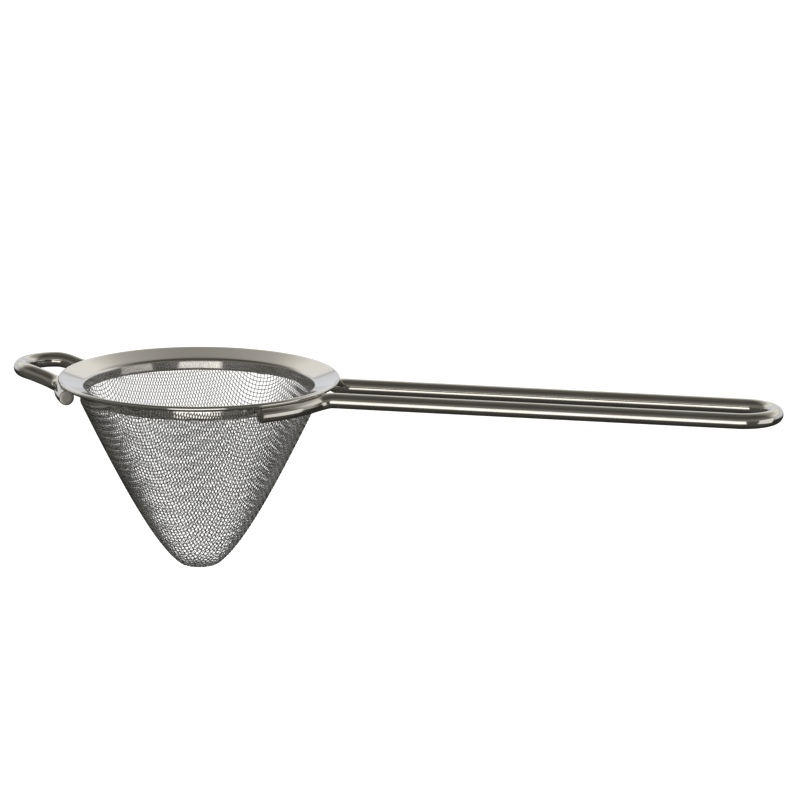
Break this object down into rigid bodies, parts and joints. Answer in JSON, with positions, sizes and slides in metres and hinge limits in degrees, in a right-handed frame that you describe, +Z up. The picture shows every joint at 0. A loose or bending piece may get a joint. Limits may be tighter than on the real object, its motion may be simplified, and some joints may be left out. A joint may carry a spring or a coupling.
{
  "type": "tea strainer",
  "caption": "Conical fine-mesh tea strainer with a wide sloping steel rim, a long bent-wire loop handle and a small wire rest hook opposite it.",
  "frame": {"origin": "centre of the rim's top circle, on the axis of the cone", "axes": "+Z up, out of the cone's mouth; +X along the handle, away from the rim; the rest hook points to -X"},
  "size_m": [0.229, 0.082, 0.0577],
  "materials": {
    "rim_sheet": "satin",
    "wire_cloth": "bright drawn wire",
    "round_wire": "polished"
  },
  "bodies": {
    "root": {"rim_flange": "rim_sheet", "mesh_cone": "wire_cloth", "handle_loop": "round_wire", "rest_hook": "round_wire"}
  },
  "joints": []
}
